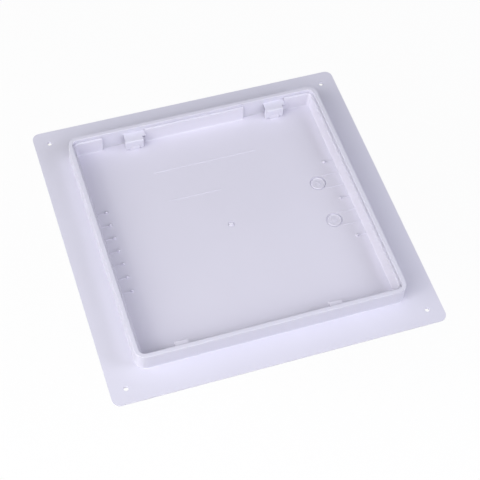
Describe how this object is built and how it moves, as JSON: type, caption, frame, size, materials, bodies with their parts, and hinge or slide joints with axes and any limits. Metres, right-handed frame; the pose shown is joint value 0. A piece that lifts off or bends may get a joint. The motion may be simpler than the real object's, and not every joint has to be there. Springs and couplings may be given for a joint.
{
  "type": "ceiling access panel",
  "caption": "Square plastic access panel: a flanged frame with a collar for a ceiling cut-out, and a tray door that swings down on pin hinges and is held shut by flexible snap latches.",
  "frame": {"origin": "centre of the square flange, on the front face that meets the room", "axes": "+Z from the front face to the back, through the collar; +Y towards the hinges; X along the hinge pins"},
  "size_m": [0.308, 0.308, 0.0205],
  "materials": {
    "frame_plastic": "cool white, satin to gloss moulded",
    "door_plastic": "cool white, fine satin moulded",
    "pin_plastic": "plain white moulded"
  },
  "bodies": {
    "frame": {"frame": "frame_plastic", "hinge_pin_left": "pin_plastic", "hinge_pin_right": "pin_plastic"},
    "door": {"door": "door_plastic"},
    "latch_left": {"latch_tongue_left": "door_plastic"},
    "latch_right": {"latch_tongue_right": "door_plastic"}
  },
  "joints": [
    {"name": "door_hinge", "type": "hinge", "parent": "frame", "child": "door", "pos_m": [0, 0.1129, 0.0046], "axis": [1, 0, 0], "range_deg": [0, 90]},
    {"name": "latch_left_flex", "type": "hinge", "parent": "door", "child": "latch_left", "pos_m": [-0.0833, -0.1184, 0.0029], "axis": [1, 0, 0], "range_deg": [-8, 0], "stiffness_Nm_per_rad": 0.05},
    {"name": "latch_right_flex", "type": "hinge", "parent": "door", "child": "latch_right", "pos_m": [0.0587, -0.1184, 0.0029], "axis": [1, 0, 0], "range_deg": [-8, 0], "stiffness_Nm_per_rad": 0.05}
  ]
}
